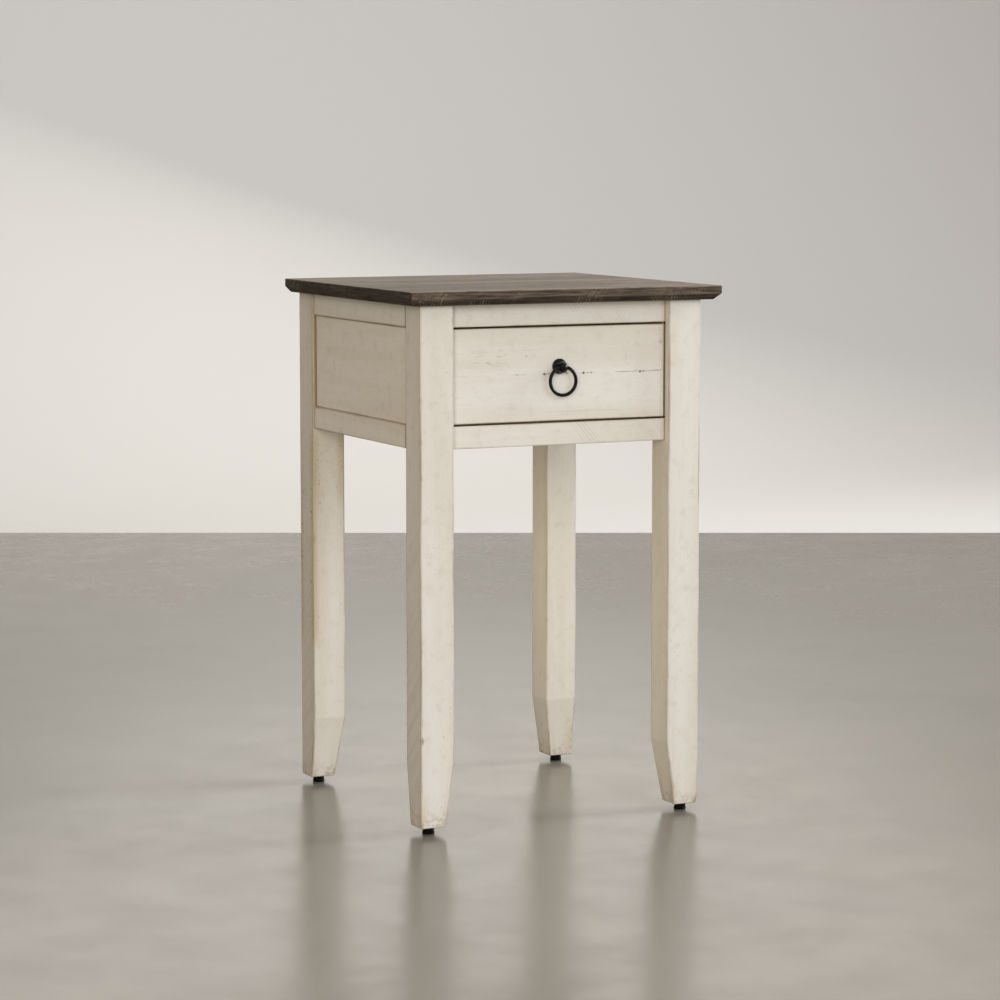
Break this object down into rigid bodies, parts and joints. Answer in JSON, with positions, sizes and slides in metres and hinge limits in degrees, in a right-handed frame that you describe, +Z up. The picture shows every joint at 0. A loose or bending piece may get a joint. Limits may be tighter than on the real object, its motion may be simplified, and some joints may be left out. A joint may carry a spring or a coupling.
{
  "type": "side table with drawer",
  "caption": "Square-legged painted side table with a dark overhanging top, inset drawer on ball-bearing slides and a ring pull.",
  "frame": {"origin": "middle of the footprint on the floor, under the centre of the top", "axes": "+Z up, -Y out of the drawer's face, +X to the right seen from the front"},
  "size_m": [0.387, 0.376, 0.61],
  "materials": {
    "dark_stained_wood": "rough-sawn, satin stain",
    "cream_painted_wood": "distressed satin paint",
    "bare_wood": "sealed, matte",
    "plywood": "matte",
    "zinc_steel": "zinc plated",
    "polished_steel": "polished",
    "black_metal": "satin black",
    "black_plastic": "moulded"
  },
  "bodies": {
    "case": {"table_top": "dark_stained_wood", "leg_front_left": "cream_painted_wood", "leg_front_right": "cream_painted_wood", "leg_back_left": "cream_painted_wood", "leg_back_right": "cream_painted_wood", "rail_front_top": "cream_painted_wood", "rail_front_bottom": "cream_painted_wood", "rail_back_top": "cream_painted_wood", "rail_back_bottom": "cream_painted_wood", "rail_left_top": "cream_painted_wood", "rail_left_bottom": "cream_painted_wood", "rail_right_top": "cream_painted_wood", "rail_right_bottom": "cream_painted_wood", "panel_left": "cream_painted_wood", "panel_right": "cream_painted_wood", "panel_back": "cream_painted_wood", "cleat_left": "bare_wood", "cleat_right": "bare_wood", "cleat_front": "bare_wood", "cleat_back": "bare_wood", "slide_batten_left": "bare_wood", "slide_batten_right": "bare_wood", "slide_case_left": "zinc_steel", "slide_case_right": "zinc_steel", "slide_case_screws": "zinc_steel", "top_screws": "zinc_steel", "cleat_screws": "zinc_steel", "leveller_inserts": "zinc_steel"},
    "drawer": {"drawer_front": "cream_painted_wood", "drawer_box_front": "bare_wood", "drawer_side_left": "bare_wood", "drawer_side_right": "bare_wood", "drawer_back": "bare_wood", "drawer_bottom": "plywood", "slide_drawer_left": "zinc_steel", "slide_drawer_right": "zinc_steel", "slide_drawer_screws": "zinc_steel", "drawer_front_screws": "zinc_steel", "pull_screw": "zinc_steel", "pull_washer": "zinc_steel", "pull_rosette": "black_metal", "pull_head": "black_metal"},
    "pull_ring": {"pull_ring": "black_metal"},
    "ball_cage_left": {"ball_cage_left": "zinc_steel", "slide_balls_left": "polished_steel"},
    "ball_cage_right": {"ball_cage_right": "zinc_steel", "slide_balls_right": "polished_steel"},
    "leveller_front_left": {"leveller_pad_front_left": "black_plastic", "leveller_stud_front_left": "zinc_steel"},
    "leveller_front_right": {"leveller_pad_front_right": "black_plastic", "leveller_stud_front_right": "zinc_steel"},
    "leveller_back_left": {"leveller_pad_back_left": "black_plastic", "leveller_stud_back_left": "zinc_steel"},
    "leveller_back_right": {"leveller_pad_back_right": "black_plastic", "leveller_stud_back_right": "zinc_steel"}
  },
  "joints": [
    {"name": "drawer_slide", "type": "slide", "parent": "case", "child": "drawer", "axis": [0, -1, 0], "range_m": [0, 0.225]},
    {"name": "ring_swing", "type": "hinge", "parent": "drawer", "child": "pull_ring", "pos_m": [0, -0.1708, 0.5217], "axis": [-1, 0, 0], "range_deg": [-13, 190]},
    {"name": "ball_cage_left_slide", "type": "slide", "parent": "case", "child": "ball_cage_left", "axis": [0, -1, 0], "range_m": [0, 0.1125]},
    {"name": "ball_cage_right_slide", "type": "slide", "parent": "case", "child": "ball_cage_right", "axis": [0, -1, 0], "range_m": [0, 0.1125]},
    {"name": "leveller_front_left_turn", "type": "hinge", "parent": "case", "child": "leveller_front_left", "pos_m": [-0.1603, -0.1555, 0.0086], "axis": [0, 0, 1], "continuous": true},
    {"name": "leveller_front_right_turn", "type": "hinge", "parent": "case", "child": "leveller_front_right", "pos_m": [0.1603, -0.1555, 0.0086], "axis": [0, 0, 1], "continuous": true},
    {"name": "leveller_back_left_turn", "type": "hinge", "parent": "case", "child": "leveller_back_left", "pos_m": [-0.1603, 0.1729, 0.0086], "axis": [0, 0, 1], "continuous": true},
    {"name": "leveller_back_right_turn", "type": "hinge", "parent": "case", "child": "leveller_back_right", "pos_m": [0.1603, 0.1729, 0.0086], "axis": [0, 0, 1], "continuous": true}
  ],
  "couplings": [
    {"joint": "ball_cage_left_slide", "follows": "drawer_slide", "ratio": 0.5},
    {"joint": "ball_cage_right_slide", "follows": "drawer_slide", "ratio": 0.5}
  ]
}
